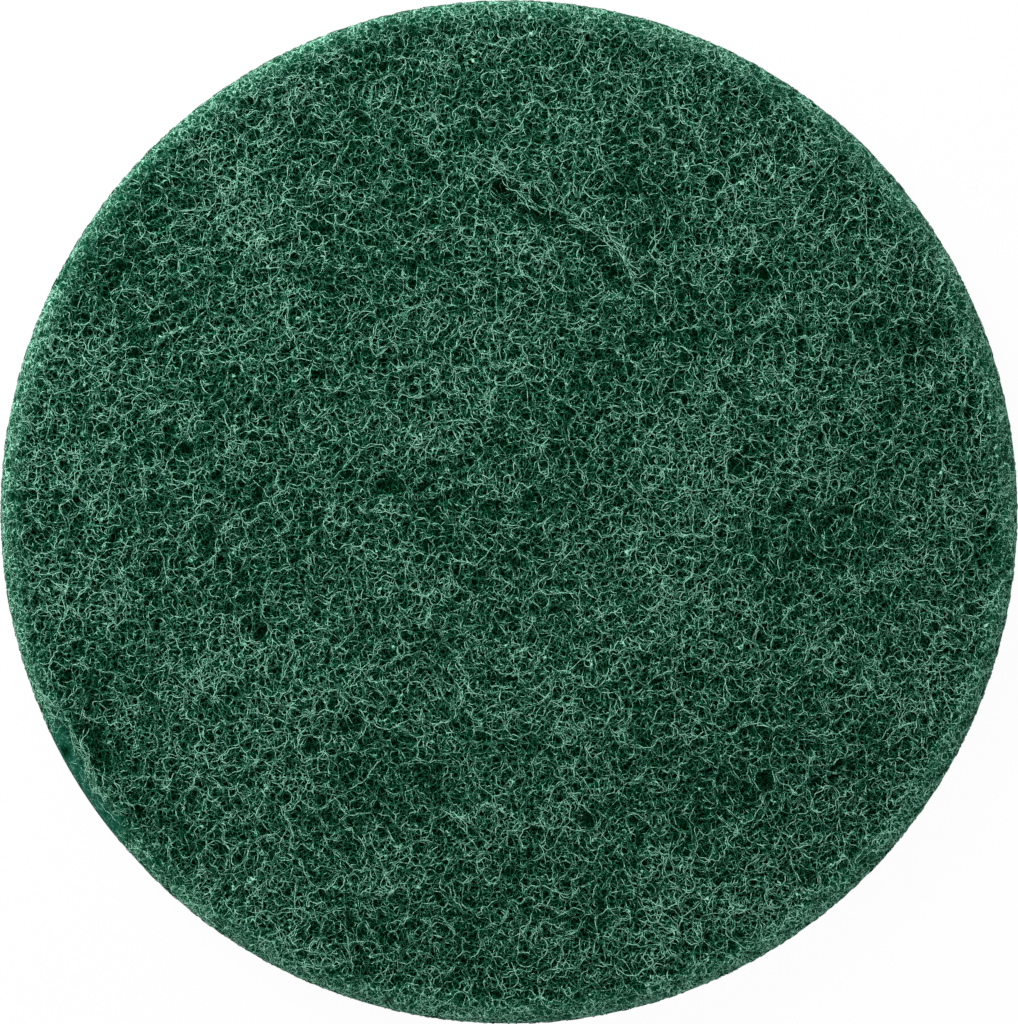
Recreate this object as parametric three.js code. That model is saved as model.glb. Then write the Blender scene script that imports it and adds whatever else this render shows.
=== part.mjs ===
// Non-woven abrasive disc: one round of lofty web, die-cut from a mat of crimped fibres
// that are bonded by a hardened resin. It is one piece. Both faces are a network of crimped
// strands with open pores between them, and the rim is denser, where the die rolled it over.
// Millimetres, +Z up. It rests on its underside at z = 0, with the origin under its middle.

import * as THREE from 'three';

// Outline and section of the web
const discWidth = 124.6; // across X
const discLength = 125.4; // across Y, the way the web gives under the cutting die
const webThickness = 8.4; // height of the strands of the top face
const topEdgeRadius = 2.6; // the die rolls the upper edge over
const bottomEdgeRadius = 1.2;
const sideDent = 0.4; // the deepest dent in the cut side

// The open network of a face: strands round pores, six strands to a pore
const topPorePitch = 3.05; // from one pore to the next
const bottomPorePitch = 5.6;
const poreScatter = 0.5; // how far a strand or a pore strays to each side
const shallowPore = 0.5; // depth under the strands round it
const deepPore = 2.3;
const bottomPoreDepth = 1.6;
const crimpRise = 0.3; // how far a strand waves up and down

// Broad unevenness of the web
const loftRise = 0.45; // swells of the top face, above and below its mean
const loftPitch = 31;
const landPitch = 15; // from one closed land of the underside to the next

// The deepest hollows of the top face, as degrees round from +X and share of the face's radius
const hollowDepth = 3.4;
const hollowReach = 2.1; // of a hollow, from its middle
const hollowPlaces = [
  [43, 0.71],
  [12, 0.47],
  [58, 0.8],
  [180, 0.16],
  [168, 0.25],
  [169, 0.68],
  [169, 0.84],
  [-154, 0.56],
  [-130, 0.63],
  [-126, 0.53],
  [-85, 0.48],
  [-75, 0.66],
  [-46, 0.76],
];

// The crease in the top face: a curved groove, with a ridge of straighter fibres beside it
const grooveDepth = 1.3;
const grooveWidth = 3.6;
const groovePlaces = [
  [94, 0.69],
  [82, 0.61],
  [63, 0.52],
];
const ridgeRise = 0.8;
const ridgeWidth = 3.2;
const ridgePlaces = [
  [74, 0.65],
  [64, 0.59],
  [52, 0.53],
];

// The nip in the rim: a strip that the die pressed down
const nipDepth = 1.6;
const nipWidth = 4;
const nipFrom = -163; // degrees round from +X
const nipTo = -136;

// Fineness of the rolled edges
const topEdgeRings = 3;
const bottomEdgeRings = 2;

const rimRadius = discWidth / 2;
const stretch = discLength / discWidth;
const topFaceRadius = rimRadius - topEdgeRadius;
const bottomFaceRadius = rimRadius - bottomEdgeRadius;

// Gives numbers between -1 and 1, in a run that is the same each time
function numbersFrom(seed) {
  const period = 2 ** 32;
  let state = seed;
  return () => {
    state = (state * 1664525 + 1013904223) % period;
    return (2 * state) / period - 1;
  };
}

const random = numbersFrom(7);

// A smooth unevenness between -1 and 1 whose swells are about one pitch apart
function swells(place, pitch) {
  const u = (2 * Math.PI * place.x) / pitch;
  const v = (2 * Math.PI * place.y) / pitch;
  const along = Math.sin(u + 1.3 * Math.sin(0.7 * v + 0.4));
  const across = Math.sin(0.9 * v + 1.1 * Math.sin(0.6 * u + 2));
  return (along + across) / 2;
}

// 1 at no distance, falling smoothly to 0 at the reach
function near(distance, reach) {
  return 1 - THREE.MathUtils.smoothstep(distance, 0, reach);
}

function placeAt(radius, angle) {
  return new THREE.Vector2(radius * Math.cos(angle), radius * Math.sin(angle));
}

function placeOf([degrees, share]) {
  return placeAt(share * topFaceRadius, THREE.MathUtils.degToRad(degrees));
}

// A line of fibres through chosen places, as close points on a smooth curve
function lineThrough(places) {
  return new THREE.SplineCurve(places.map(placeOf)).getPoints(24);
}

function distanceTo(points, place) {
  return Math.min(...points.map((point) => point.distanceTo(place)));
}

const hollows = hollowPlaces.map(placeOf);
const groove = lineThrough(groovePlaces);
const ridge = lineThrough(ridgePlaces);

function topHeight(place, isPore) {
  const inGroove = near(distanceTo(groove, place), grooveWidth / 2);
  const onRidge = near(distanceTo(ridge, place), ridgeWidth / 2);
  const height = webThickness - grooveDepth * inGroove + ridgeRise * onRidge;
  if (!isPore) {
    return height + crimpRise * random() * (1 - onRidge);
  }
  const depth = THREE.MathUtils.lerp(shallowPore, deepPore, Math.abs(random()));
  const inHollow = near(distanceTo(hollows, place), hollowReach);
  return height - THREE.MathUtils.lerp(depth, hollowDepth, inHollow) * (1 - onRidge);
}

// The strands and the closed lands of the underside lie in one plane, which it rests on
function bottomHeight(place, isPore) {
  const open = THREE.MathUtils.smoothstep(swells(place, landPitch), -0.2, 0.4);
  return isPore ? bottomPoreDepth * open : 0;
}

// One face of the web, as rings from its middle to its edge, with six more points in each.
// In such rings every third point is the middle of a pore, and the others are on its strands.
function faceRings(radius, porePitch, heightAt) {
  const count = Math.round((radius * Math.sqrt(3)) / porePitch);
  const middle = new THREE.Vector2();
  const rings = [[new THREE.Vector3(0, 0, heightAt(middle, false))]];
  for (let ring = 1; ring <= count; ring += 1) {
    const points = [];
    const isEdge = ring === count;
    for (let step = 0; step < 6 * ring; step += 1) {
      const place = placeAt((radius * ring) / count, (Math.PI * step) / (3 * ring));
      const isPore = !isEdge && (ring + (step % ring)) % 3 === 0;
      if (!isEdge) {
        place.x += poreScatter * random();
        place.y += poreScatter * random();
      }
      points.push(new THREE.Vector3(place.x, place.y, heightAt(place, isPore)));
    }
    rings.push(points);
  }
  return rings;
}

function ringAt(count, radius, height) {
  const points = [];
  for (let step = 0; step < count; step += 1) {
    const place = placeAt(radius, (2 * Math.PI * step) / count);
    points.push(new THREE.Vector3(place.x, place.y, height));
  }
  return points;
}

// The rim, from the top face down to the underside: a rolled edge, the cut side, a rolled edge
function rimRings(count) {
  const rings = [];
  for (let ring = 1; ring <= topEdgeRings; ring += 1) {
    const turn = (Math.PI / 2) * (ring / topEdgeRings);
    const radius = topFaceRadius + topEdgeRadius * Math.sin(turn);
    rings.push(ringAt(count, radius, webThickness - topEdgeRadius * (1 - Math.cos(turn))));
  }
  const sideTop = webThickness - topEdgeRadius;
  const side = ringAt(count, rimRadius, (sideTop + bottomEdgeRadius) / 2);
  for (const point of side) {
    const dent = 1 - (sideDent * Math.abs(random())) / rimRadius;
    point.x *= dent;
    point.y *= dent;
  }
  rings.push(side);
  for (let ring = 0; ring < bottomEdgeRings; ring += 1) {
    const turn = (Math.PI / 2) * (ring / bottomEdgeRings);
    const radius = bottomFaceRadius + bottomEdgeRadius * Math.cos(turn);
    rings.push(ringAt(count, radius, bottomEdgeRadius * (1 - Math.sin(turn))));
  }
  return rings;
}

// The swells and the nip move a point by its share of the height, so the underside stays flat
function settle(point) {
  const share = point.z / webThickness;
  const degrees = THREE.MathUtils.radToDeg(Math.atan2(point.y, point.x));
  const fromNip = Math.abs(degrees - (nipFrom + nipTo) / 2);
  const inNip = near(fromNip, (nipTo - nipFrom) / 2);
  const radius = Math.hypot(point.x, point.y);
  const pressed = THREE.MathUtils.smoothstep(radius, rimRadius - nipWidth, rimRadius);
  point.z += share * (loftRise * swells(point, loftPitch) - nipDepth * inNip * pressed);
  point.y *= stretch;
}

// The triangles between two rings of any two counts, each point joined to the nearest ahead
function joinRings(upper, lower, triangles) {
  let i = 0;
  let j = 0;
  while (i < upper.length || j < lower.length) {
    const here = upper[i % upper.length];
    const below = lower[j % lower.length];
    if ((j + 1) / lower.length <= (i + 1) / upper.length) {
      j += 1;
      if (lower.length > 1) {
        triangles.push(here, below, lower[j % lower.length]);
      }
    } else {
      i += 1;
      if (upper.length > 1) {
        triangles.push(here, below, upper[i % upper.length]);
      }
    }
  }
}

function webGeometry() {
  const top = faceRings(topFaceRadius, topPorePitch, topHeight);
  const bottom = faceRings(bottomFaceRadius, bottomPorePitch, bottomHeight);
  const rings = [...top, ...rimRings(top.at(-1).length), ...bottom.reverse()];
  const points = rings.flat();
  points.forEach(settle);
  const triangles = [];
  let first = 0;
  let previous = null;
  for (const ring of rings) {
    const indexes = ring.map((point, step) => first + step);
    if (previous) {
      joinRings(previous, indexes, triangles);
    }
    first += ring.length;
    previous = indexes;
  }
  const geometry = new THREE.BufferGeometry().setFromPoints(points);
  geometry.setIndex(triangles);
  geometry.computeVertexNormals();
  return geometry;
}

// One colour for the whole bonded web: a deep bluish green resin, dull, with no metal in it
const greenResin = new THREE.MeshStandardMaterial({
  color: 0x1f5a40,
  roughness: 0.85,
  metalness: 0,
  flatShading: true,
});

const abrasiveDisc = new THREE.Mesh(webGeometry(), greenResin);
abrasiveDisc.name = 'abrasive_disc';

const group = new THREE.Group();
group.add(abrasiveDisc);

export default group;
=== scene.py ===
# %% [markdown]
# # A non-woven abrasive disc
# The object is one round of springy web. Crimped nylon fibres are laid at random, sprayed with
# a green resin that carries fine grit, baked hard, and die-cut to a round. There is no weave and
# no backing, so nearly all of its look is thousands of thin fibres over a dark, deep inside.
# Bump on a smooth round could draw such fibres, but it goes flat at the rim, where they are seen
# from the side. So this lesson builds the web as it is: a core painted dark as the shade deep in
# the web, and real fibres over it.

# %% Load the imported model
import itertools
import math
from collections import namedtuple

import bpy
import numpy as np
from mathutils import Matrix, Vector
from mathutils.bvhtree import BVHTree


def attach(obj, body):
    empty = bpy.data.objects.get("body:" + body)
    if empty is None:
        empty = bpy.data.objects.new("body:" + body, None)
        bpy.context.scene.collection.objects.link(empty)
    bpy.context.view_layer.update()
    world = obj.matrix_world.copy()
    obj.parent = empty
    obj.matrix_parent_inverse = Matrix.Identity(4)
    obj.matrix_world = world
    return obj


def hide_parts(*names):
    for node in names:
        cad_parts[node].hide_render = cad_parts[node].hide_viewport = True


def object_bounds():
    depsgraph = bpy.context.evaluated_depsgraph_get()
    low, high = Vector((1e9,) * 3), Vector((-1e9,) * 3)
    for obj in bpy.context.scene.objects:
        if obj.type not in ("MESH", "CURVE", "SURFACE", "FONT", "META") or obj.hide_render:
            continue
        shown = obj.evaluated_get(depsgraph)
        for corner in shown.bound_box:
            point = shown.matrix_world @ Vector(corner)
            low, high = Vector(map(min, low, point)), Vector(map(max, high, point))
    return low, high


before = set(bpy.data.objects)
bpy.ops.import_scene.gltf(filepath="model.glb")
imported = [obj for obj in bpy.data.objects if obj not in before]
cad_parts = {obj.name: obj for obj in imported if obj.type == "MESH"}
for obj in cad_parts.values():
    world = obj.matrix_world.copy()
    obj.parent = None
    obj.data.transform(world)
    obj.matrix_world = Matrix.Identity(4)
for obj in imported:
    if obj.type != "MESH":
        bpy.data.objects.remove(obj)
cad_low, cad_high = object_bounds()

# %% [markdown]
# ## Measure the solid that the fibres cover
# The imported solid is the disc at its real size, with the swells of both faces, the crease and the
# nip in the rim. Its heights could be typed in here once more, but then the two might drift apart.
# So rays are shot at it on a grid instead, and a blur takes its coarse facets away. Every fibre is
# laid at the height that was read, so the dressed disc keeps the form of the solid.

# %% Size of the round
MM = 0.001
half_width = (cad_high.x - cad_low.x) / 2
half_length = (cad_high.y - cad_low.y) / 2
stretch = half_length / half_width  # the round is very slightly oval
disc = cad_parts["abrasive_disc"]
print("CAD box in mm:", [round(length / MM, 1) for length in cad_high - cad_low])

# %% Smooth a grid of heights
def blurred(grid, reach):
    """The grid smoothed over about reach points, as if its edge went on outward."""
    steps = np.arange(-3 * reach, 3 * reach + 1)
    weights = np.exp(-0.5 * (steps / reach) ** 2)
    weights /= weights.sum()
    for _ in range(2):
        padded = np.pad(grid, ((0, 0), (3 * reach, 3 * reach)), mode="edge")
        grid = np.apply_along_axis(lambda row: np.convolve(row, weights, "valid"), 1, padded).T
    return grid


# %% Read the heights of one face
MAP_POINTS = 128  # points each way over the round
MAP_BLUR = 2  # points


def read_heights(facing, radius):
    """How far the places of a face lie above or below its mean, on a grid over the round. facing
    is 1 for the top and -1 for the underside, and the rays come from a metre away on that side."""
    tree = BVHTree.FromObject(disc, bpy.context.evaluated_depsgraph_get())
    heights = np.full((MAP_POINTS, MAP_POINTS), np.nan)
    places = np.linspace(-half_length, half_length, MAP_POINTS)
    for row, y in enumerate(places):
        for column, x in enumerate(places):
            if math.hypot(x, y / stretch) < radius:
                hit = tree.ray_cast(Vector((x, y, facing)), Vector((0, 0, -facing)))[0]
                heights[row, column] = hit.z
    mean = np.nanmean(heights)
    return blurred(np.where(np.isnan(heights), mean, heights) - mean, MAP_BLUR)


# %% Measure both sides
TOP_EDGE = 2.6 * MM  # radius of the rolled upper edge
UNDER_EDGE = 1.2 * MM
WEB_TOP = 8.4 * MM
WALL = WEB_TOP - TOP_EDGE - UNDER_EDGE  # straight part of the cut side
# reach is how far from the middle a flat sheet goes that is wrapped over that side of the disc
Side = namedtuple("Side", "edge level facing reach swells")


def rolled(edge):
    """The reach of a sheet that ends where the rolled edge does."""
    return half_width - edge + edge * math.pi / 2


top_swells = read_heights(1, half_width - TOP_EDGE)
under_swells = read_heights(-1, half_width - UNDER_EDGE)
top = Side(TOP_EDGE, WEB_TOP, 1, rolled(TOP_EDGE) + WALL, top_swells)
under_level = -under_swells.min()  # so that the lowest place is at z = 0
under = Side(UNDER_EDGE, under_level, -1, rolled(UNDER_EDGE), under_swells)
for side in (top, under):
    print("swells in mm:", round(side.swells.min() / MM, 2), "to", round(side.swells.max() / MM, 2))

# %% [markdown]
# ## Random unevenness without pictures
# A real web is uneven at every size: dense and thin patches, tufts, single fibres that rise or
# dive. Noise nodes can colour such patches, but they can't move fibres, which are made in code. So
# the noise is made in code too. White noise that keeps only one band of wavelengths has swells of
# one size, and the Fourier transform picks the band in one step. The field that it gives can then
# be read at any place, for the fibres and the core alike, so that both agree.

# %% Make a field of noise
FIELD_POINTS = 1024
FIELD_WIDTH = 2.3 * half_length
BAND_SPREAD = 0.18  # how far the swells may stray from one size


def uneven_field(wavelength, seed):
    """A field with swells about one wavelength apart, zero on average and one in spread."""
    noise = np.fft.rfft2(np.random.default_rng(seed).standard_normal((FIELD_POINTS,) * 2))
    across = np.fft.fftfreq(FIELD_POINTS, FIELD_WIDTH / FIELD_POINTS)
    along = np.fft.rfftfreq(FIELD_POINTS, FIELD_WIDTH / FIELD_POINTS)
    cycles = np.hypot(across[:, None], along[None, :]) * wavelength
    band = np.exp(-((cycles - 1) ** 2) / BAND_SPREAD)
    field = np.fft.irfft2(noise * band, (FIELD_POINTS,) * 2)
    return field / field.std()


# %% Read a field at any place
def read_field(field, x, y, width=FIELD_WIDTH):
    """The field's value at each place, between its points by straight lines."""
    size = field.shape[0]
    last = size - 1.001  # just short of the last point, so there is always a next one
    column = np.clip((x / width + 0.5) * (size - 1), 0, last)
    row = np.clip((y / width + 0.5) * (size - 1), 0, last)
    left, low = column.astype(int), row.astype(int)
    across, up = column - left, row - low
    lower = field[low, left] * (1 - across) + field[low, left + 1] * across
    upper = field[low + 1, left] * (1 - across) + field[low + 1, left + 1] * across
    return lower * (1 - up) + upper * up


# %% Patches and tufts
# Wavelength in mm and strength of each band of light and dark patches
PATCHES = [(3.6, 0.55), (7, 0.5), (15, 0.45), (32, 0.5)]
TUFT_WAVE = 2.4 * MM
patch_field = sum(
    strength * uneven_field(wave * MM, seed) for seed, (wave, strength) in enumerate(PATCHES, 20)
)
tuft_field = uneven_field(TUFT_WAVE, 2)
print("patches swing by", round(float(patch_field.std()), 2), "and tufts by 1 in spread")

# %% [markdown]
# ## A skin to lay fibres on
# Fibres don't stop at the edge of a face. The die rolls the web over as it cuts, and they run on
# down the side. Fibres could be laid on the face and on the side apart, but then a seam shows
# between them. So each fibre is drawn on a flat sheet, and one function wraps that sheet over the
# round: the plane first, then the rolled edge as an arc, and then straight down the side. The depth
# under the skin is measured square to it, so inner layers stay inside all the way round.

# %% Wrap a flat sheet over the round
def held(value):
    """The value held between 0 and 1."""
    return np.clip(value, 0, 1)


def turned(side, out):
    """How far round the rolled edge a place is, in radians, for its distance out on the sheet."""
    return np.clip((out - half_width + side.edge) / side.edge, 0, math.pi / 2)


def skin(side, u, v, depth):
    """Places on the web for places u, v of the flat sheet, at a depth under its surface."""
    out = np.hypot(u, v)
    angle = np.arctan2(v, u)
    turn = turned(side, out)
    start = half_width - side.edge
    wall = np.maximum(out - start - side.edge * math.pi / 2, 0)
    radius = np.minimum(out, start) + (side.edge - depth) * np.sin(turn)
    fall = side.edge * (1 - np.cos(turn)) + wall + depth * np.cos(turn)
    x, y = radius * np.cos(angle), radius * np.sin(angle) * stretch
    swell = read_field(side.swells, x, y, 2 * half_length)
    swell *= held(1 - fall / WEB_TOP) * (0.5 + 0.5 * np.cos(turn))
    return np.stack([x, y, side.level - side.facing * fall + swell], -1)


print("the sheet for the top reaches", round(top.reach / MM, 1), "mm from the middle")

# %% [markdown]
# ## Pores
# Dark pores a millimetre or two wide lie all over the face, because fibres gather into a net as
# the resin dries. Cutting holes in the finished layers would leave cut ends. It is better to lay
# the fibres round the pores from the start: every place of the sheet is pushed away from the middle
# of its pore, more the nearer it is. Most pores are scattered by chance, one in each square of a
# grid, and the widest are where the photograph has them.

# %% Read places off the photograph
PHOTO_WIDTH = 1018
PHOTO_HEIGHT = 1024
PIXEL = 2 * half_width / PHOTO_WIDTH


def from_photo(column, row):
    """The place of a pixel of the photograph on the sheet."""
    return (column - PHOTO_WIDTH / 2) * PIXEL, (PHOTO_HEIGHT / 2 - row) * PIXEL / stretch


# %% Find the nearest scattered pore
PORE_SPACING = 1.6 * MM
PORE_POWERS = (0.18, 0.85)  # the lower, the emptier a pore
FAR = 1.0  # metres, farther than any pore


def nearest_pore(place_u, place_v):
    """For each place, the way to it from the nearest pore, the distances to that pore and to the
    second nearest, and the power of the nearest."""
    rng = np.random.default_rng(3)
    squares = int(FIELD_WIDTH / PORE_SPACING) + 3
    jitter = rng.uniform(0.0, 1.0, (2, squares, squares))
    power_of = rng.uniform(*PORE_POWERS, (squares, squares))
    column = ((place_u + FIELD_WIDTH / 2) / PORE_SPACING).astype(int) + 1
    row = ((place_v + FIELD_WIDTH / 2) / PORE_SPACING).astype(int) + 1
    near = np.full(place_u.shape, FAR)
    second = near.copy()
    from_u, from_v, power = near * 0, near * 0, near * 0
    for down, across in itertools.product((-1, 0, 1), repeat=2):
        r, c = row + down, column + across
        du = place_u - ((c - 1 + jitter[0, r, c]) * PORE_SPACING - FIELD_WIDTH / 2)
        dv = place_v - ((r - 1 + jitter[1, r, c]) * PORE_SPACING - FIELD_WIDTH / 2)
        distance = np.hypot(du, dv)
        nearer = distance < near
        second = np.where(nearer, near, np.minimum(second, distance))
        near = np.where(nearer, distance, near)
        from_u = np.where(nearer, du, from_u)
        from_v = np.where(nearer, dv, from_v)
        power = np.where(nearer, power_of[r, c], power)
    return from_u, from_v, near, second, power


# %% Push the sheet away from the scattered pores
TINY = 1e-9  # metres, which keeps a division by no distance from failing
places = (np.arange(FIELD_POINTS) / (FIELD_POINTS - 1) - 0.5) * FIELD_WIDTH
place_u, place_v = np.meshgrid(places, places)
from_u, from_v, near, second, power = nearest_pore(place_u, place_v)
pore_reach = (near + second) / 2  # a pore ends half way to the next one
push = (pore_reach * (near / pore_reach) ** power / (near + TINY) - 1) * np.stack([from_u, from_v])
print("the sheet is pushed by up to", round(float(np.abs(push).max() / MM), 2), "mm")

# %% Note where pores leave the web open
# How open the web is in the middle of a pore, before it is held to 1, and how much less that is at
# the pore's reach
SCATTERED_OPEN = (1.25, 1.4)
WIDE_OPEN = (1.5, 1.7)
CLOSED_POWER = 0.8  # from which on a scattered pore stays closed
POWER_FADE = 0.4


def openness(share, middle, fall):
    """From 0, closed, to 1, empty, at a share of the way from a pore's middle to its reach."""
    return held(middle - fall * share)


bare_field = openness(near / pore_reach, *SCATTERED_OPEN)
bare_field *= held((CLOSED_POWER - power) / POWER_FADE)
print("share of the sheet that is open pore:", round(float((bare_field > 0.5).mean()), 3))

# %% Open the widest pores
WIDE_REACH = 1.6 * MM
WIDE_POWER = 0.5
WIDE_PORES = [(763, 275), (735, 465), (430, 512), (388, 486), (262, 632), (312, 745),
              (355, 722), (527, 745), (765, 780), (590, 820), (500, 188), (716, 183),
              (105, 430), (185, 450), (66, 751)]
for spot in WIDE_PORES:
    u, v = from_photo(*spot)
    du, dv = place_u - u, place_v - v
    distance = np.hypot(du, dv) + TINY
    share = held(distance / WIDE_REACH)
    push += WIDE_REACH * (share**WIDE_POWER - share) / distance * np.stack([du, dv])
    bare_field = np.maximum(bare_field, openness(share, *WIDE_OPEN))
push_u, push_v = push
print("with the widest pores it is:", round(float((bare_field > 0.5).mean()), 3))

# %% [markdown]
# ## The crease and the nip
# The web isn't only random. A crease runs near the middle of the top, where a row of straighter
# fibres stands up beside a dark furrow. At the lower left the die has nipped the rim, and a smooth
# pressed strip lies outside a second bright ridge. These could be modelled as meshes of their own,
# but they are the same web, only bent. So each is a line that follows the photograph from bend to
# bend, and the distance to that line is all that the fibres and the core need to know.

# %% Measure the distance to a line
def distance_to(line, u, v):
    """How far each place is from a line through pixels of the photograph."""
    nearest = np.full(np.shape(u), FAR)
    spots = [from_photo(*spot) for spot in line]
    for (u0, v0), (u1, v1) in zip(spots, spots[1:]):
        along_u, along_v = u1 - u0, v1 - v0
        share = held(((u - u0) * along_u + (v - v0) * along_v) / (along_u**2 + along_v**2))
        nearest = np.minimum(nearest, np.hypot(u - u0 - share * along_u, v - v0 - share * along_v))
    return nearest


# %% Place the furrows
CREASE_FURROW = [(497, 185), (525, 212), (555, 217), (580, 233), (605, 255), (616, 276)]
NIP_FURROW = [(85, 726), (97, 746), (108, 766)]
FURROW_WIDTH = 1.2 * MM


def furrow(u, v):
    """From 0 to 1, how deep in a furrow each place is."""
    nearest = np.minimum(distance_to(CREASE_FURROW, u, v), distance_to(NIP_FURROW, u, v))
    return np.exp(-((nearest / FURROW_WIDTH) ** 2))


# %% Place the pressed strip of the nip
NIP_MIDDLE = math.radians(-147.5)
NIP_HALF = math.radians(8.5)
NIP_START = half_width - TOP_EDGE + 0.4 * MM
NIP_END = half_width - TOP_EDGE + 5 * MM  # on the sheet, so just below the rolled edge
NIP_BRIM = 0.5 * MM  # over which the strip begins, and twice that over which it ends
NIP_FADE = 3  # so the last third of the strip's half fades out along the rim


def nipped(u, v):
    """From 0 to 1, how much the die has pressed each place of the rim flat."""
    round_the_rim = np.abs(np.arctan2(v, u) - NIP_MIDDLE) / NIP_HALF
    out = np.hypot(u, v)
    across = np.minimum((out - NIP_START) / NIP_BRIM, (NIP_END - out) / (2 * NIP_BRIM))
    return held(NIP_FADE - NIP_FADE * round_the_rim) * held(across)


print("the strip is", round(2 * NIP_HALF * half_width / MM, 1), "mm long at the rim")

# %% [markdown]
# ## The paths of the fibres
# A crimped fibre swings to and fro as it goes, because the nylon is crimped like hair before it is
# laid. Hair particles or curves with noise could do it, but they wander without the even kinks of
# crimp. Here the heading swings along the fibre, and adding up short steps gives the path. A slow,
# wide swing makes the loops, and a quick, small one the kinks. The fibre also waves up and down, so
# it passes over some neighbours and under others. All the fibres of a layer are worked out at once
# as arrays, because a loop over every step is slow in Python.

# %% Let crimped fibres wander
STEP = 0.42 * MM
MOST_CURL = 0.6 / MM  # one over the radius of the tightest loops
CURL_POWER = 0.7  # below 1, so tight loops are a little commoner than wide ones
LOOPS = [(0.1, 0.9), (2.8 * MM, 6.5 * MM)]  # swing in radians, and its wavelength
KINKS = [(0.2, 0.7), (1.0 * MM, 1.9 * MM)]
RISE_WAVE = (1.6 * MM, 4 * MM)


def wander(rng, u, v, steps, start=None, crimp=1.0):
    """Paths of crimped fibres that pass through places u, v: arrays with a row for each fibre.
    start is their heading, where they have a common one, and crimp is how lively they are."""
    along = (np.arange(steps)[None, :] - steps / 2) * STEP

    def draw(low, high):
        return rng.uniform(low, high, (len(u), 1))

    def swing(size, wave):
        return size * np.sin(2 * np.pi * along / wave + draw(0, 2 * np.pi))

    curl = draw(0, 1) ** CURL_POWER * MOST_CURL * np.sign(draw(-1, 1))
    turns = sum(swing(draw(*sizes), draw(*waves)) for sizes, waves in (LOOPS, KINKS))
    heading = draw(0, 2 * np.pi) if start is None else start[:, None]
    heading = heading + crimp * (curl * along + turns)
    path_u = np.cumsum(np.cos(heading), 1) * STEP
    path_v = np.cumsum(np.sin(heading), 1) * STEP
    middle = slice(steps // 2, steps // 2 + 1)
    path_u += u[:, None] - path_u[:, middle]
    path_v += v[:, None] - path_v[:, middle]
    return path_u, path_v, swing(1.0, draw(*RISE_WAVE))


# %% [markdown]
# ## From a line to a solid fibre
# A coated fibre is a round bar about a tenth of a millimetre thick. A curve object with a bevel
# would make it, but slowly, and with many sides. Nobody sees the corners at this size, and three
# sides are half the faces of six, which buys twice as many fibres. So the bars are written straight
# into arrays: three corners round each step of the path, walls between them, and a cap on each end.

# %% Build bars along the paths
NO_LENGTH = 1e-12  # which keeps a division by no length from failing


def across_to(ahead, other):
    """The direction square to two others, at a length of one."""
    square = np.cross(ahead, other)
    return square / (np.linalg.norm(square, axis=2, keepdims=True) + NO_LENGTH)


def bars(paths, radius, inward):
    """Corners and triangles of three-sided closed bars along the paths, which all have as many
    points. inward points from the skin into the web, which fixes how a bar is turned."""
    count, steps, _ = paths.shape
    ahead = np.gradient(paths, axis=1)
    side = across_to(ahead, inward)
    lift = across_to(side, ahead)
    corners = np.empty((count, steps, 3, 3), np.float32)
    for corner, turn in enumerate(np.radians((90, 210, 330))):
        around = math.cos(turn) * side + math.sin(turn) * lift
        corners[:, :, corner] = paths + radius[..., None] * around
    index = np.arange(count * steps * 3).reshape(count, steps, 3)
    here, ahead_of = index[:, :-1], index[:, 1:]
    beside, ahead_beside = np.roll(here, -1, 2), np.roll(ahead_of, -1, 2)
    triangles = [(here, beside, ahead_beside), (here, ahead_beside, ahead_of)]
    walls = [np.stack(triangle, -1).reshape(-1, 3) for triangle in triangles]
    return corners.reshape(-1, 3), np.concatenate([*walls, index[:, 0, ::-1], index[:, -1]])


# %% [markdown]
# ## A place in a picture for every side
# If the disc's colours are baked into a picture, each triangle needs a place of its own there. The
# usual unwrapping would take minutes on so many thin bars. But a bar unrolls by itself: its sides
# lie one above the other in a strip, and its caps at the strip's ends. The strips of a layer are
# then laid in rows over the picture.

# %% Unroll the bars into strips
# All in steps of a bar, from the lower left corner of its strip
CAP = np.array([(0.05, 0.25), (0.45, 0.25), (0.05, 1.5)])
SIDES_START = (0.6, 0.25)
CAP_BACK = 0.2  # how much less than the bar's steps lies between its two caps
STRIP_HEIGHT = 3.5


def strip_map(count, steps):
    """A place in a square picture for each corner of each triangle of bars."""
    wide, tall = steps + 1.0, STRIP_HEIGHT
    columns = math.floor(math.sqrt(count * wide * tall) / wide)
    rows = math.ceil(count / columns)
    cell = min(1 / (columns * wide), 1 / (rows * tall))
    number = np.arange(count)
    start = np.stack([number % columns * wide, number // columns * tall], -1)[:, None, None, :]
    along, side = np.meshgrid(np.arange(steps - 1), np.arange(3), indexing="ij")

    def corner(ahead, up):
        return start + SIDES_START + np.stack([along + ahead, side + up], -1)

    first = np.stack([corner(0, 0), corner(0, 1), corner(1, 1)], -2)
    second = np.stack([corner(0, 0), corner(1, 1), corner(1, 0)], -2)
    near_cap = start[:, 0] + CAP
    far_cap = near_cap + (steps - CAP_BACK, 0)
    return cell * np.concatenate([part.reshape(-1, 2) for part in (first, second, near_cap, far_cap)])


# %% [markdown]
# ## From arrays to an object
# Every layer of the web becomes one mesh, because thousands of single objects would be slow to
# draw and to export. A mesh can be made from Python lists, but with a hundred thousand triangles
# that takes seconds for each. foreach_set copies whole arrays at once. Each corner also carries a
# tone, which says how pale its resin is painted: a tone of its own with painted light and shade,
# and the material reads it later.

# %% Make a Blender object from arrays
def add_values(piece, name, kind, values):
    """Values for each corner of the piece, which its material reads by their name."""
    attribute = piece.data.attributes.new(name, kind, "POINT")
    field = "vector" if kind == "FLOAT_VECTOR" else "value"
    attribute.data.foreach_set(field, np.asarray(values, np.float32).ravel())


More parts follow.
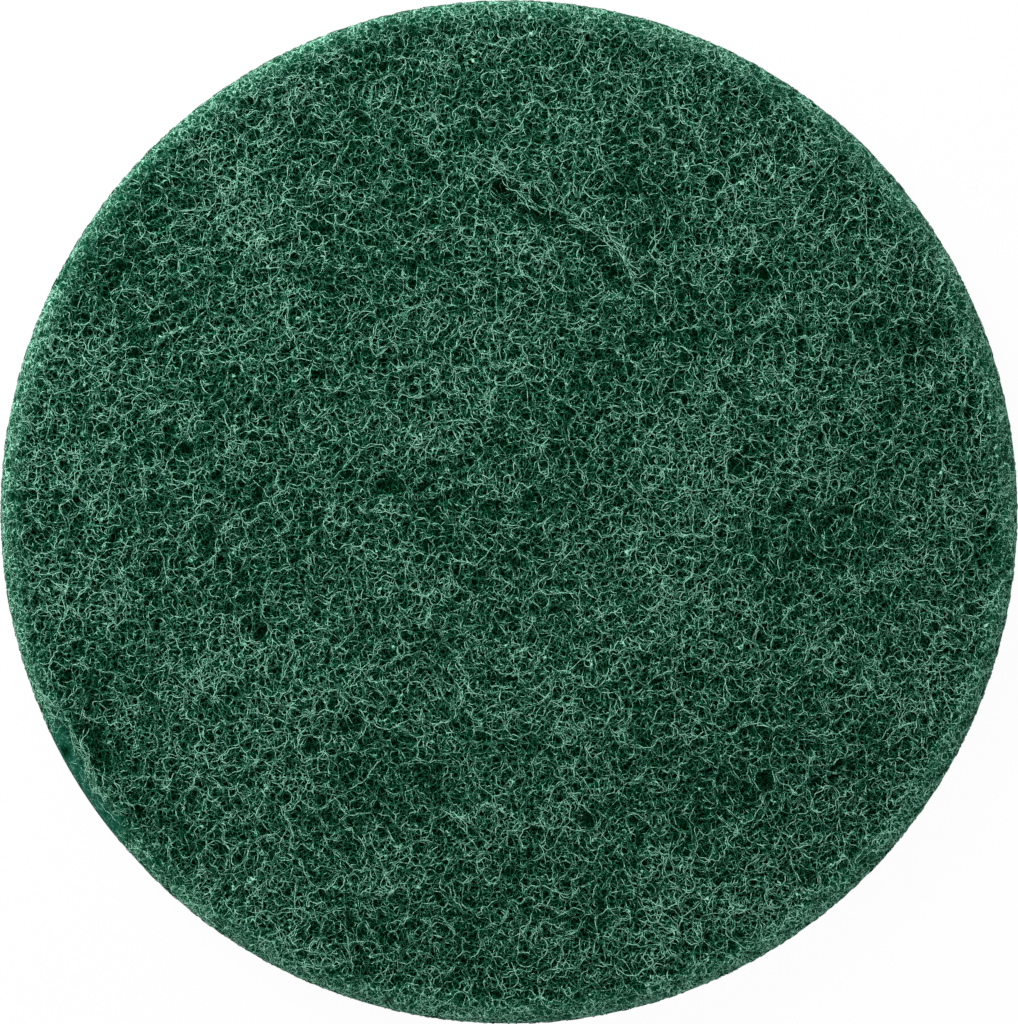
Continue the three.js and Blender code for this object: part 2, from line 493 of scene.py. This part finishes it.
def piece_from(name, corners, triangles, tone, picture):
    """A Blender object. The tone of each corner is how pale its resin is painted, as a tone of its
    own with painted light and shade, and picture is where each corner of each triangle lies in the
    picture that the colours may be baked into."""
    mesh = bpy.data.meshes.new(name)
    mesh.vertices.add(len(corners))
    mesh.vertices.foreach_set("co", np.asarray(corners, np.float32).ravel())
    mesh.loops.add(triangles.size)
    mesh.loops.foreach_set("vertex_index", triangles.ravel().astype(np.int32))
    mesh.polygons.add(len(triangles))
    mesh.polygons.foreach_set("loop_start", np.arange(0, triangles.size, 3, dtype=np.int32))
    mesh.update(calc_edges=True)
    mesh.shade_smooth()
    flat = mesh.uv_layers.new(name="OFBake")
    flat.uv.foreach_set("vector", np.asarray(picture, np.float32).ravel())
    piece = bpy.data.objects.new(name, mesh)
    bpy.context.collection.objects.link(piece)
    add_values(piece, "tone", "FLOAT", tone)
    print(name, len(triangles), "triangles")
    return piece


# %% [markdown]
# ## Layers of fibres
# The web is lofty: some fibres lie on top in full light, and others a millimetre down in the dark.
# One thick layer with depths by chance would do, but its colours couldn't be told apart. So the
# face gets four layers, painted from bright and shallow to dark and deep as painted light and
# shade, and the rim and the underside one each. A fibre starts at an even spread of places, is
# pushed round the pores, sinks in a furrow, and may stand a little out of the face. Its tone says
# how pale its resin is painted at each corner: painted light near the surface, painted shade deep
# down and in pores and furrows, painted glints, and a random tone of its own.

# %% Thickness and height of the fibres
THIN = 0.034 * MM  # radius
THICK = 0.056 * MM
END_SHARE = 0.4  # of the radius, at a fibre's ends
RISE = 0.3 * MM  # how far a fibre may stand out of the face, but not out of the rim
FIBRE_WAVE = 0.18 * MM  # how far it waves up and down
TUFT_RISE = 0.12 * MM
FURROW_SINK = 0.4 * MM
NIP_SINK = 0.22 * MM  # which hides most fibres of the nip in the pressed strip
BESIDE = 0.1 * MM  # a little deeper, to find the way into the web


def fibres_along(name, side, u, v, depth, radius, tone):
    """A piece of bars along paths of the sheet, each at a depth under the skin."""
    paths = skin(side, u, v, depth)
    inward = skin(side, u, v, depth + BESIDE) - paths
    corners, triangles = bars(paths, radius, inward)
    return piece_from(name, corners, triangles, np.repeat(tone, 3), strip_map(*u.shape))


def tapered(radius, steps):
    """Radii along fibres that thin out at their ends."""
    radii = radius * np.ones(steps)
    radii[:, (0, -1)] *= END_SHARE
    return radii


# %% Start fibres evenly and lead them round the pores
EVEN_STEPS = np.array([[0.75487767], [0.56984029]])  # which fill a square evenly, but in no rows


def even_starts(rng, count, ring):
    """Places spread evenly over the part of the sheet between two radii."""
    share, turn = (np.arange(count)[None, :] * EVEN_STEPS + rng.random((2, 1))) % 1
    out = np.sqrt(ring[0] ** 2 + share * (ring[1] ** 2 - ring[0] ** 2))
    return out * np.cos(2 * np.pi * turn), out * np.sin(2 * np.pi * turn)


def past_pores(side, u, v):
    """Paths pushed round the pores and turned back where they would leave the sheet, and how far
    out they were before that."""
    u, v = u + read_field(push_u, u, v), v + read_field(push_v, u, v)
    out = np.hypot(u, v)
    turned_back = (side.reach - np.abs(side.reach - out)) / out
    return u * turned_back, v * turned_back, out


# %% Give each fibre its tones and painted light
FIBRE_SPREAD = 0.09  # from one fibre to the next
# Painted highlights: glints are painted as pale and dark stretches along each fibre
GLINT = 0.15  # along one fibre
GLINT_WAVE = (0.9 * MM, 2.2 * MM)
PATCH_TONE = 0.06
# Painted shade: fibres are painted darker in a pore, in a furrow and where they sink into the pressed
# strip
PORE_SHADE = 0.3  # how much darker fibres are in a pore, in a furrow and in the pressed strip
FURROW_SHADE = 0.25
NIP_SHADE = 0.12


def glints(rng, count, steps):
    """Painted glints: light and dark stretches painted along fibres, between -1 and 1."""
    along = np.arange(steps) * STEP
    wave = rng.uniform(*GLINT_WAVE, (count, 1))
    return np.sin(2 * np.pi * (along / wave + rng.random((count, 1))))


def fibre_tones_and_painted_light(rng, layer, u, v, deepness):
    """How pale the resin is painted along each fibre, for a deepness from 0 to 1 in its layer:
    painted light and shade by depth, painted glints, painted shade in pores and furrows, and the
    fibre's own random tone and patches.
    """
    shallow, deep = layer.tones
    # Painted light and shade: pale where a fibre lies shallow, dark where it lies deep, with a random
    # tone for each fibre
    tone = shallow + (deep - shallow) * deepness + rng.normal(0, FIBRE_SPREAD, (layer.count, 1))
    # Painted glints: pale and dark stretches along the fibre
    tone += GLINT * glints(rng, layer.count, layer.steps)
    # Patches are the web's own uneven tone; the darkening in pores is painted shade
    tone += PATCH_TONE * read_field(patch_field, u, v) - PORE_SHADE * read_field(bare_field, u, v)
    # Painted shade where fibres sink into a furrow or the pressed strip
    return tone - (layer.side is top) * (FURROW_SHADE * furrow(u, v) + NIP_SHADE * nipped(u, v))


# %% Lay one layer
# depths are in mm under the skin, ring is the part of the sheet between two radii, and the tones
# are how pale the layer's shallow and deep fibres are painted, as painted light near the surface
# and painted shade deep down
Layer = namedtuple("Layer", "name side count steps depths ring tones crimp")


def lay(layer, seed):
    """One layer of the web, as a Blender object."""
    rng = np.random.default_rng(seed)
    on_top = layer.side is top
    u, v = even_starts(rng, layer.count, layer.ring)
    u, v, wave = wander(rng, u, v, layer.steps, crimp=layer.crimp)
    u, v, out = past_pores(layer.side, u, v)
    shallow, deep = layer.depths[0] * MM, layer.depths[1] * MM
    depth = rng.uniform(shallow, deep, (layer.count, 1)) + FIBRE_WAVE * wave
    depth -= TUFT_RISE * read_field(tuft_field, u, v)
    depth += on_top * (FURROW_SINK * furrow(u, v) + NIP_SINK * nipped(u, v))
    radius = rng.uniform(THIN, THICK, (layer.count, 1))
    rise = on_top * RISE * np.cos(turned(layer.side, out)) ** 2
    depth = np.maximum(depth, radius - rise)
    tone = fibre_tones_and_painted_light(rng, layer, u, v, held((depth - shallow) / (deep - shallow)))
    radius = tapered(radius, layer.steps)
    return fibres_along(layer.name, layer.side, u, v, depth, radius, tone)


# %% [markdown]
# ## Straighter fibres for the ridges
# Where the web is creased or nipped, the fibres are pulled into line and stand a little proud, so
# they catch the light, and their resin is also painted pale, with painted glints. More random
# fibres there would only look thicker. So these start near the ridge's line, with its heading and
# less crimp, and the line comes from the photograph again.

# %% Lay fibres along a ridge
CREASE_RIDGE = [(490, 158), (507, 180), (530, 205), (574, 220), (605, 237), (622, 255),
                (634, 280), (655, 297)]
NIP_RIDGE = [(46, 696), (58, 710), (70, 722), (84, 745), (93, 770), (101, 790), (120, 813)]
RIDGE_SPREAD = 0.33 * MM
RIDGE_TURN = 0.25  # radians that a fibre may stray from the ridge's heading
RIDGE_CRIMP = 0.6
RIDGE_DEPTHS = (-0.35 * MM, 0.2 * MM)
RIDGE_WAVE = 0.5 * FIBRE_WAVE
RIDGE_RISE = 1.3 * RISE
# Painted light: ridge fibres are painted pale at any depth, with painted glints along them
RIDGE_PAINTED_LIGHT = (0.65, 1.0)
RIDGE_GLINT = 0.12


def ridge_starts(rng, line, count):
    """Places near a line through pixels of the photograph, and the line's heading there."""
    spots = np.array([from_photo(*spot) for spot in line])
    bends = np.concatenate([spots[:-1], spots[1:]], 1)
    u0, v0, u1, v1 = bends[rng.integers(len(bends), size=count)].T
    share = rng.random(count)
    heading = np.arctan2(v1 - v0, u1 - u0) + rng.normal(0, RIDGE_TURN, count)
    off_u, off_v = rng.normal(0, RIDGE_SPREAD, (2, count))
    return u0 + share * (u1 - u0) + off_u, v0 + share * (v1 - v0) + off_v, heading


def lay_ridge(name, line, count, steps, seed):
    """The fibres of one ridge, as a Blender object."""
    rng = np.random.default_rng(seed)
    u, v, heading = ridge_starts(rng, line, count)
    u, v, wave = wander(rng, u, v, steps, heading, RIDGE_CRIMP)
    radius = tapered(rng.uniform(THIN, THICK, (count, 1)), steps)
    depth = rng.uniform(*RIDGE_DEPTHS, (count, 1)) + RIDGE_WAVE * wave
    depth = np.maximum(depth, radius - RIDGE_RISE * np.cos(turned(top, np.hypot(u, v))) ** 2)
    tone = rng.uniform(*RIDGE_PAINTED_LIGHT, (count, 1)) + RIDGE_GLINT * glints(rng, count, steps)
    return fibres_along(name, top, u, v, depth, radius, tone)


# %% [markdown]
# ## The resin
# One green resin coats every fibre. Near the surface it catches the light and looks pale and a
# little glossy, and deeper down it looks a saturated dark green. Light that bounces between fibres
# makes that change in the real web, but it would need far more fibres and samples to do it here. So
# the tone that each corner carries picks the green from a colour ramp, which paints that light and
# shade: pale and sheeny near the surface, dark deep down. Two fine noises stand for the grit in the
# resin and for painted glints, and break up the line of each fibre.

# %% Helpers for shader nodes
def add(tree, kind, inputs, **settings):
    """A new node. An input that is given a socket is linked to it, and any other is set."""
    node = tree.nodes.new("ShaderNode" + kind)
    for name, value in settings.items():
        setattr(node, name, value)
    for name, value in inputs.items():
        if isinstance(value, bpy.types.NodeSocket):
            tree.links.new(value, node.inputs[name])
        else:
            node.inputs[name].default_value = value
    return node


def maths(tree, operation, *values, clamp=False):
    """The result of a Math node."""
    inputs = dict(enumerate(values))
    return add(tree, "Math", inputs, operation=operation, use_clamp=clamp).outputs[0]


def moved(tree, value, old, new, kind="LINEAR"):
    """The value moved from an old range to a new one, and held there."""
    inputs = {"Value": value, "From Min": old[0], "From Max": old[1]}
    inputs |= {"To Min": new[0], "To Max": new[1]}
    return add(tree, "MapRange", inputs, interpolation_type=kind).outputs["Result"]


def values_of(tree, name):
    """The outputs of a node that reads the values which a piece's corners carry."""
    return add(tree, "Attribute", {}, attribute_name=name).outputs


# %% The greens of the resin, with painted light and shade
# The resin's own green, painted near black deep in the web as painted shade and pale mint at the
# surface as painted light and sheen
RESIN_GREENS_WITH_PAINTED_LIGHT = [
    (0.00, (0.0000, 0.005, 0.0004)),
    (0.35, (0.002, 0.058, 0.024)),
    (0.70, (0.052, 0.235, 0.148)),
    (1.00, (0.370, 0.740, 0.550)),
]  # from deep in the web to its surface


def resin_green_with_painted_light(tree, level):
    """The resin's colour for a level from 0, deep in the web, to 1, at its surface: its own green
    with painted shade at the deep end and painted light and sheen at the surface.
    """
    ramp = add(tree, "ValToRGB", {"Fac": level})
    stops = ramp.color_ramp.elements
    while len(stops) < len(RESIN_GREENS_WITH_PAINTED_LIGHT):
        stops.new(0.5)
    for stop, (place, colour) in zip(stops, RESIN_GREENS_WITH_PAINTED_LIGHT, strict=True):
        stop.position = place
        stop.color = (*colour, 1)
    return ramp.outputs["Color"]


def coated(name, paint, roughness, gloss):
    """A material of one shader, whose colour the function paint makes from the node tree."""
    material = bpy.data.materials.new(name)
    material.use_nodes = True
    tree = material.node_tree
    shader = tree.nodes["Principled BSDF"]
    tree.links.new(paint(tree), shader.inputs["Base Color"])
    shader.inputs["Roughness"].default_value = roughness
    shader.inputs["Specular IOR Level"].default_value = gloss
    return material


# %% Coat the fibres
# Grit and painted glints: the coarser noise paints pale and dark stretches about a millimetre long,
# the finer one pale specks of grit and glints
GRIT_AND_GLINTS = [(1100, 0.25), (6500, 0.35)]  # noise cells in each metre, and how far they swing the level
NOISE_RANGE = (0.3, 0.7)  # where nearly all values of a noise texture lie


def green_with_grit_and_glints(tree):
    """The green of a fibre's tone, broken up by grit and by painted glints."""
    place = add(tree, "TexCoord", {}).outputs["Object"]
    level = values_of(tree, "tone")["Fac"]
    for scale, swing in GRIT_AND_GLINTS:
        noise = add(tree, "TexNoise", {"Vector": place, "Scale": scale, "Detail": 1})
        grit_and_glint = moved(tree, noise.outputs["Fac"], NOISE_RANGE, (-swing, swing))
        level = maths(tree, "ADD", level, grit_and_glint, clamp=True)
    return resin_green_with_painted_light(tree, level)


fibre_resin = coated("fibre_resin", green_with_grit_and_glints, roughness=0.35, gloss=0.12)
print("fibre resin:", len(fibre_resin.node_tree.nodes), "nodes")

# %% [markdown]
# ## Lay the fibres
# The four layers of the face share one ring of the sheet and differ in depth and tone. The rim's
# layer is livelier, lies close to the skin and runs down the side, where the die has pressed the
# web together. The underside takes fewer fibres, because it is seen least. Nearly ten thousand
# fibres are what a million triangles allow. Shorter ones could be more, but look like crumbs.

# %% Lay every layer
face_ring = (0, half_width - 2.4 * MM)
rim_ring = (half_width - 2.8 * MM, top.reach)
under_ring = (0, half_width + 0.5 * MM)
LAYERS = [
    Layer("top_fibres_a", top, 1560, 17, (0.0, 0.35), face_ring, (0.95, 0.7), 1.0),
    Layer("top_fibres_b", top, 1560, 17, (0.15, 0.6), face_ring, (0.85, 0.6), 1.0),
    Layer("top_fibres_c", top, 1560, 17, (0.4, 1.0), face_ring, (0.64, 0.4), 1.0),
    Layer("top_fibres_d", top, 1560, 17, (0.7, 1.4), face_ring, (0.42, 0.2), 1.0),
    Layer("rim_fibres", top, 2200, 12, (0.0, 0.25), rim_ring, (0.6, 0.48), 1.9),
    Layer("under_fibres", under, 1200, 12, (0.0, 0.5), under_ring, (0.8, 0.4), 1.0),
]
RIDGES = [("crease_fibres", CREASE_RIDGE, 44, 12), ("nip_fibres", NIP_RIDGE, 50, 10)]
pieces = [lay(layer, seed) for seed, layer in enumerate(LAYERS, 11)]
pieces += [lay_ridge(*ridge, seed) for seed, ridge in enumerate(RIDGES, 17)]
for piece in pieces:
    piece.data.materials.append(fibre_resin)
    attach(piece, "root")
print(sum(layer.count for layer in LAYERS) + sum(ridge[2] for ridge in RIDGES), "fibres")

# %% [markdown]
# ## The form of the core
# Between the fibres the eye falls into the web: more strands, darker the deeper they lie, and
# almost black at the bottom of a pore. Fibres all the way down would need many millions of
# triangles. So one closed core lies just under them, wrapped by the same function as they are, and
# it takes the place of the imported solid. Its dark green is painted shade, which stands for the
# shade deep in the web. It is a millimetre down in the middle and comes close to the skin at the
# rim, and it sinks in the pores and the furrows and rises in the pressed strip.
# Ring n of a face has 6n corners, so they lie evenly, and the side's rings have as many as the last.

# %% How deep the core lies
CORE_DEPTH = {1: 0.9 * MM, -1: 0.45 * MM}  # under the top face and over the underside
RIM_SHARE = 0.1  # of that depth, at the rim, where the die has pressed the web close
PORE_SINK = 0.8 * MM
TUFT_LIFT = 0.2 * MM
CORE_FURROW = 0.5 * MM
NIP_LIFT = 0.8  # share of the depth that the pressed strip takes away


def core_depth(side, inner, bare, tuft, pressed, sunk):
    """The depth under the skin. inner is 0 at the rim and 1 well inside it."""
    depth = CORE_DEPTH[side.facing] * (RIM_SHARE + (1 - RIM_SHARE) * inner)
    depth = depth + inner * (PORE_SINK * bare - TUFT_LIFT * tuft)
    return np.maximum(depth * (1 - NIP_LIFT * pressed) + CORE_FURROW * sunk, 0)


# %% How full of strands the core is, and its painted shade
# Fewer strands show in pores and furrows, partly as missing strands and partly as painted shade of
# their depth, and low on the side, partly as the cut web's darker green and partly as painted shade
# where the lamp falls full on it
PORE_EMPTY_AND_SHADE = 0.75  # share of the strands that is missing in a pore
PATCH_FILL = 0.09
FURROW_EMPTY_AND_SHADE = 0.4
NIP_EMPTY = 0.35
WALL_EMPTY_AND_SHADE = 0.4


def core_fill(bare, patch, pressed, sunk, wall):
    """How strongly the strands show, where 1 is plain web. wall is 1 low down on the side. Less fill
    darkens the core: painted shade in pores and furrows, and low on the side the cut web's darker
    green with painted shade.
    """
    fill = 1 - PORE_EMPTY_AND_SHADE * bare + PATCH_FILL * patch
    return fill - (FURROW_EMPTY_AND_SHADE * sunk + NIP_EMPTY * pressed + WALL_EMPTY_AND_SHADE * wall)


# %% Shape one ring of the core
# Near the rim and in the pressed strip the core lies close to the skin and the web is dense, so its
# level is lifted out of the painted shade; low on the side the lift fades, partly as the cut web's
# darker green and partly as painted shade
RIM_WIDTH = 3.5 * MM  # over which the core comes up to the rim
WALL_START = 4.2 * MM  # from the sheet's end, where the side begins to get darker
WALL_FADE = 3 * MM
WALL_DIM = 0.6  # share of the rim's light that is lost low down on the side
NIP_LIGHT = 0.8
NIP_TINT = 0.6
# Middle and radius of the underside's and of the top's round in the picture for baking
PICTURE_SPOTS = {-1: (0.79, 0.205), 1: (0.375, 0.37)}
Ring = namedtuple("Ring", "corners places rims presses picture")


def core_ring(side, out, count):
    """Corners of one ring, with each one's place on the sheet in mm and how full of strands it is
    there, how near the rim it is, where less painted shade darkens it, how pressed it is, and its
    place in the picture for baking."""
    angle = np.arange(count) * 2 * np.pi / count
    u, v = out * np.cos(angle), out * np.sin(angle)
    bare, tuft, patch = (read_field(field, u, v) for field in (bare_field, tuft_field, patch_field))
    pressed, sunk = nipped(u, v) * (side is top), furrow(u, v) * (side is top)
    inner = held((half_width - out) / RIM_WIDTH)
    wall = held((out - side.reach + WALL_START) / WALL_FADE)
    depth = core_depth(side, inner, bare, tuft, pressed, sunk)
    fill = core_fill(bare * np.cos(turned(side, out)), patch, pressed, sunk, wall)
    rim = np.maximum((1 - inner) * (1 - WALL_DIM * wall), NIP_LIGHT * pressed)
    middle, size = PICTURE_SPOTS[side.facing]
    return Ring(
        corners=skin(side, u, v, depth),
        places=np.stack([u / MM, v / MM, fill], -1),
        rims=rim * (1 - bare),
        presses=NIP_TINT * pressed * (1 - bare),
        picture=middle + np.stack([u, v], -1) * size / side.reach,
    )


# %% Join two rings
def ring_faces(first, inner, outer):
    """Triangles between two rings of inner and outer corners, which are numbered from first on."""
    steps = max(inner, outer)
    step = np.arange(steps)
    here, there = step * inner // steps, step * outer // steps
    here_next, there_next = (step + 1) * inner // steps, (step + 1) * outer // steps
    second = first + inner
    square = np.stack([
        first + here % inner, second + there % outer,
        second + there_next % outer, first + here_next % inner,
    ], -1)
    return [square[:, (0, 1, 2)][there != there_next], square[:, (0, 2, 3)][here != here_next]]


# %% Build the core
CORE_RINGS = 96  # of each face
side_rings = round((top.reach - half_width) / (half_width / CORE_RINGS))
top_rings = CORE_RINGS + side_rings
numbers = [(top, top_rings, number) for number in range(top_rings + 1)]
numbers += [(under, CORE_RINGS, number) for number in reversed(range(CORE_RINGS))]
rings = [
    core_ring(side, side.reach * number / last, max(6 * min(number, CORE_RINGS), 1))
    for side, last, number in numbers
]
faces, first = [], 0
for ring, next_ring in zip(rings, rings[1:]):
    faces += ring_faces(first, len(ring.corners), len(next_ring.corners))
    first += len(ring.corners)
faces = np.concatenate(faces)
corners, places, rims, presses, picture = (np.concatenate(values) for values in zip(*rings))
core = piece_from("web_core", corners, faces, rims, picture[faces].reshape(-1, 2))
add_values(core, "sheet", "FLOAT_VECTOR", places)
add_values(core, "pressed", "FLOAT", presses)
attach(core, "root")
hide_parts("abrasive_disc")

# %% [markdown]
# ## The strands painted on the core
# What shows of the core is a net of strands that lie too deep to be built. Bump would give it
# relief, but no light falls that deep, so only the pattern counts. The lines between the cells of a
# Voronoi texture make a net, and a noise that shifts the texture bends them into strands. Three
# such nets of different mesh lie over each other, each at its own level of painted light and shade.
# They are drawn in the sheet's own millimetres, which the core's corners carry, so they run round
# the rim without a seam. Near the rim the level is raised, because the web is dense there and the
# core lies close to the skin, so it has less painted shade, and the pressed strip leans towards a
# bluish green.

# %% Paint one net of strands
Net = namedtuple("Net", "cells bend half_line level")
# The levels are painted light and shade: the finer the net, the darker it is painted
NETS = [  # cells for each mm, how far lines bend in mm, half a line's width in mm, and its level
    Net(1.8, 0.6, 0.05, 0.5),
    Net(1.1, 0.8, 0.055, 0.72),
    Net(0.75, 1.1, 0.055, 0.88),
]
SOLID_SHARE = 0.35  # of a line's width, before it fades
BEND_CELLS = 1.3  # of the noise that bends the lines, for each cell of the net
FADE_CELLS = 2.2  # for each mm, of the noise that fades them
FADES = (0.35, 1.45)


def strands(tree, sheet, net, shift):
    """The level of one net of bent lines. The shift keeps the nets from lying alike."""
    bend = {"Vector": sheet, "Scale": BEND_CELLS * net.cells, "Detail": 1.0}
    noise = add(tree, "TexNoise", bend, noise_dimensions="2D").outputs["Color"]
    centred = add(tree, "VectorMath", {0: noise, 1: shift}, operation="SUBTRACT").outputs[0]
    inputs = {0: centred, 1: (net.bend, net.bend, 0), 2: sheet}
    place = add(tree, "VectorMath", inputs, operation="MULTIPLY_ADD").outputs[0]
    cells = {"Vector": place, "Scale": net.cells}
    kind = {"voronoi_dimensions": "2D", "feature": "DISTANCE_TO_EDGE"}
    edge = add(tree, "TexVoronoi", cells, **kind).outputs["Distance"]
    width = net.half_line * net.cells
    line = moved(tree, edge, (width, SOLID_SHARE * width), (0.0, net.level), "SMOOTHSTEP")
    fading = {"Vector": place, "Scale": FADE_CELLS, "Detail": 2.0}
    fade = add(tree, "TexNoise", fading, noise_dimensions="2D").outputs["Fac"]
    return maths(tree, "MULTIPLY", line, moved(tree, fade, NOISE_RANGE, FADES))


# %% Paint the core
NOISE_MEAN = 0.5
NET_SHIFT = (7.3, 3.1, 0)  # from one net to the next
# Less painted shade at the rim, where the web is dense and the core lies close to the skin
RIM_LEVEL = 0.46  # added at the rim
PRESSED_GREEN = (0.013, 0.100, 0.072)


def painted_green(tree):
    """The green of the core: nets of strands, the rim and the pressed strip, over a base of painted
    shade that stands for the deep web.
    """
    sheet = values_of(tree, "sheet")["Vector"]
    drawn = 0.0
    for number, net in enumerate(NETS):
        shift = [NOISE_MEAN - step * number for step in NET_SHIFT]
        drawn = maths(tree, "MAXIMUM", drawn, strands(tree, sheet, net, shift))
    fill = add(tree, "SeparateXYZ", {0: sheet}).outputs["Z"]
    filled = maths(tree, "MULTIPLY", drawn, fill)
    rim = values_of(tree, "tone")["Fac"]
    level = maths(tree, "MULTIPLY_ADD", rim, RIM_LEVEL, filled, clamp=True)
    pressed = values_of(tree, "pressed")["Fac"]
    inputs = {"Factor": pressed, "A": resin_green_with_painted_light(tree, level), "B": (*PRESSED_GREEN, 1)}
    return add(tree, "Mix", inputs, data_type="RGBA").outputs["Result"]


core.data.materials.append(coated("core_resin", painted_green, roughness=0.8, gloss=0.0))

# %% [markdown]
# ## The floor and the light
# The photograph has a white ground with hardly a shadow, and soft light from the upper left. A
# floor lit up to white would throw light back into the web and wash it out. So the floor is plain
# pale paint for the light, and almost white to the camera alone, with a little of the object's
# shadow left in it. The world is white where it is seen and a plain even light elsewhere. One
# square lamp at the upper left makes that side of the rim pale and leaves the other side deep.

# %% Lay the floor
FLOOR_PAINT = (0.85, 0.85, 0.85, 1)
WHITE_SHARE = 0.97  # the rest shows the shadow


def studio_white():
    """White to the camera, with the object's shadow on it."""
    material = bpy.data.materials.new("studio_white")
    material.use_nodes = True
    tree = material.node_tree
    tree.nodes.clear()
    paint = add(tree, "BsdfDiffuse", {"Color": FLOOR_PAINT}).outputs[0]
    glow = add(tree, "Emission", {"Strength": 1}).outputs[0]
    seen = add(tree, "LightPath", {}).outputs["Is Camera Ray"]
    share = maths(tree, "MULTIPLY", seen, WHITE_SHARE)
    both = add(tree, "MixShader", {"Fac": share, 1: paint, 2: glow})
    add(tree, "OutputMaterial", {"Surface": both.outputs[0]})
    return material


bpy.ops.mesh.primitive_plane_add(size=4)
floor = bpy.context.object
floor.name = "studio_floor"
floor.data.materials.append(studio_white())

# %% Light the world
EVEN_LIGHT = 0.45  # the world's light on the object, where 1 is white to the camera
world = bpy.data.worlds.new("studio")
bpy.context.scene.world = world
world.use_nodes = True
tree = world.node_tree
path = add(tree, "LightPath", {})
shiny = maths(tree, "MAXIMUM", path.outputs["Is Glossy Ray"], path.outputs["Is Transmission Ray"])
seen = maths(tree, "MAXIMUM", path.outputs["Is Camera Ray"], shiny)
background = tree.nodes["Background"]
background.inputs["Color"].default_value = (1, 1, 1, 1)
tree.links.new(moved(tree, seen, (0, 1), (EVEN_LIGHT, 1.0)), background.inputs["Strength"])

# %% Hang the lamp
key = bpy.data.lights.new("key", "AREA")
key.shape = "RECTANGLE"
key.size, key.size_y = 0.2, 0.2
key.energy = 1.65
key_lamp = bpy.data.objects.new("key", key)
bpy.context.collection.objects.link(key_lamp)
key_lamp.location = (-0.19, 0.23, 0.26)
key_lamp.rotation_euler = (-key_lamp.location).to_track_quat("-Z", "Y").to_euler()
print("the lamp is", round(key_lamp.location.length, 2), "m from the middle of the disc")

# %% [markdown]
# ## The camera
# The photograph looks straight down, and the disc fills it from edge to edge. A near camera would
# see only the inner part of the rolled edge, and one without perspective isn't what took the
# photograph. A long lens from far off shows the edge as a narrow band, as the photograph does. Its
# height follows from the disc's length, the level where the disc is widest, and the lens, so the
# outline meets the edges of the picture.

# %% Aim the camera
camera = bpy.data.cameras.new("camera")
camera.lens = 110
camera.sensor_width = 36
camera_stand = bpy.data.objects.new("camera", camera)
bpy.context.collection.objects.link(camera_stand)
widest = WEB_TOP - TOP_EDGE
camera_stand.location = (0, 0, widest + 2 * half_length * camera.lens / camera.sensor_width)
bpy.context.scene.camera = camera_stand
bpy.context.scene.view_settings.view_transform = "Standard"
bpy.context.scene.cycles.use_denoising = False  # it would smear fibres this thin
print("the camera is", round(camera_stand.location.z, 2), "m up")
